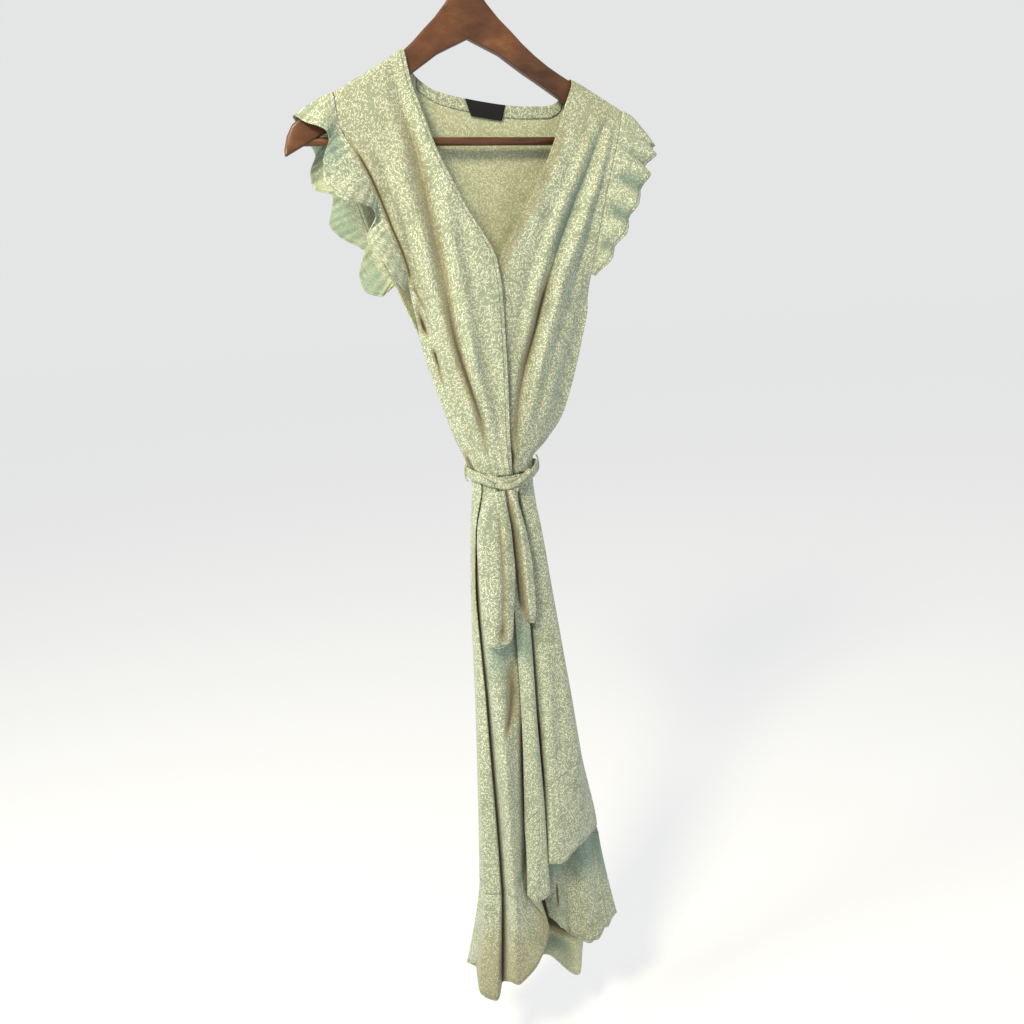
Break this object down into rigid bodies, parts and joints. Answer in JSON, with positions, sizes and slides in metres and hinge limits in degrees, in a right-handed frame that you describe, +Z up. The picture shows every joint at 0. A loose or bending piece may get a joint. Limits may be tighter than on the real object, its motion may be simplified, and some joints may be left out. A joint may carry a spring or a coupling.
{
  "type": "wrap dress on a wooden hanger",
  "caption": "Sleeveless wrap dress with frilled armholes, tied belt and a rising frilled hem, hanging on a wooden hanger with a trouser bar and a hook.",
  "frame": {"origin": "the point inside the top of the hanger's hook where a rail bears", "axes": "+Z up, +X to the viewer's right, the dress faces -Y"},
  "size_m": [0.4227, 0.107, 1.3118],
  "materials": {
    "dress_cloth": "light matt crepe with a small all-over printed sprig",
    "label_cloth": "plain black woven tape",
    "hanger_wood": "dark walnut stain, satin lacquer",
    "hook_steel": "satin"
  },
  "bodies": {
    "root": {"bodice_front_over": "dress_cloth", "bodice_front_under": "dress_cloth", "bodice_back": "dress_cloth", "back_neck_facing": "dress_cloth", "skirt_over": "dress_cloth", "skirt_under": "dress_cloth", "skirt_back": "dress_cloth", "hem_frill_over": "dress_cloth", "hem_frill_under": "dress_cloth", "hem_frill_back": "dress_cloth", "armhole_frill_left": "dress_cloth", "armhole_frill_right": "dress_cloth", "belt_band": "dress_cloth", "belt_knot": "dress_cloth", "belt_end_left": "dress_cloth", "belt_end_right": "dress_cloth", "belt_carrier_left": "dress_cloth", "belt_carrier_right": "dress_cloth", "neck_label": "label_cloth", "hanger_arms": "hanger_wood", "hanger_bar": "hanger_wood", "hanger_hook": "hook_steel"}
  },
  "joints": []
}
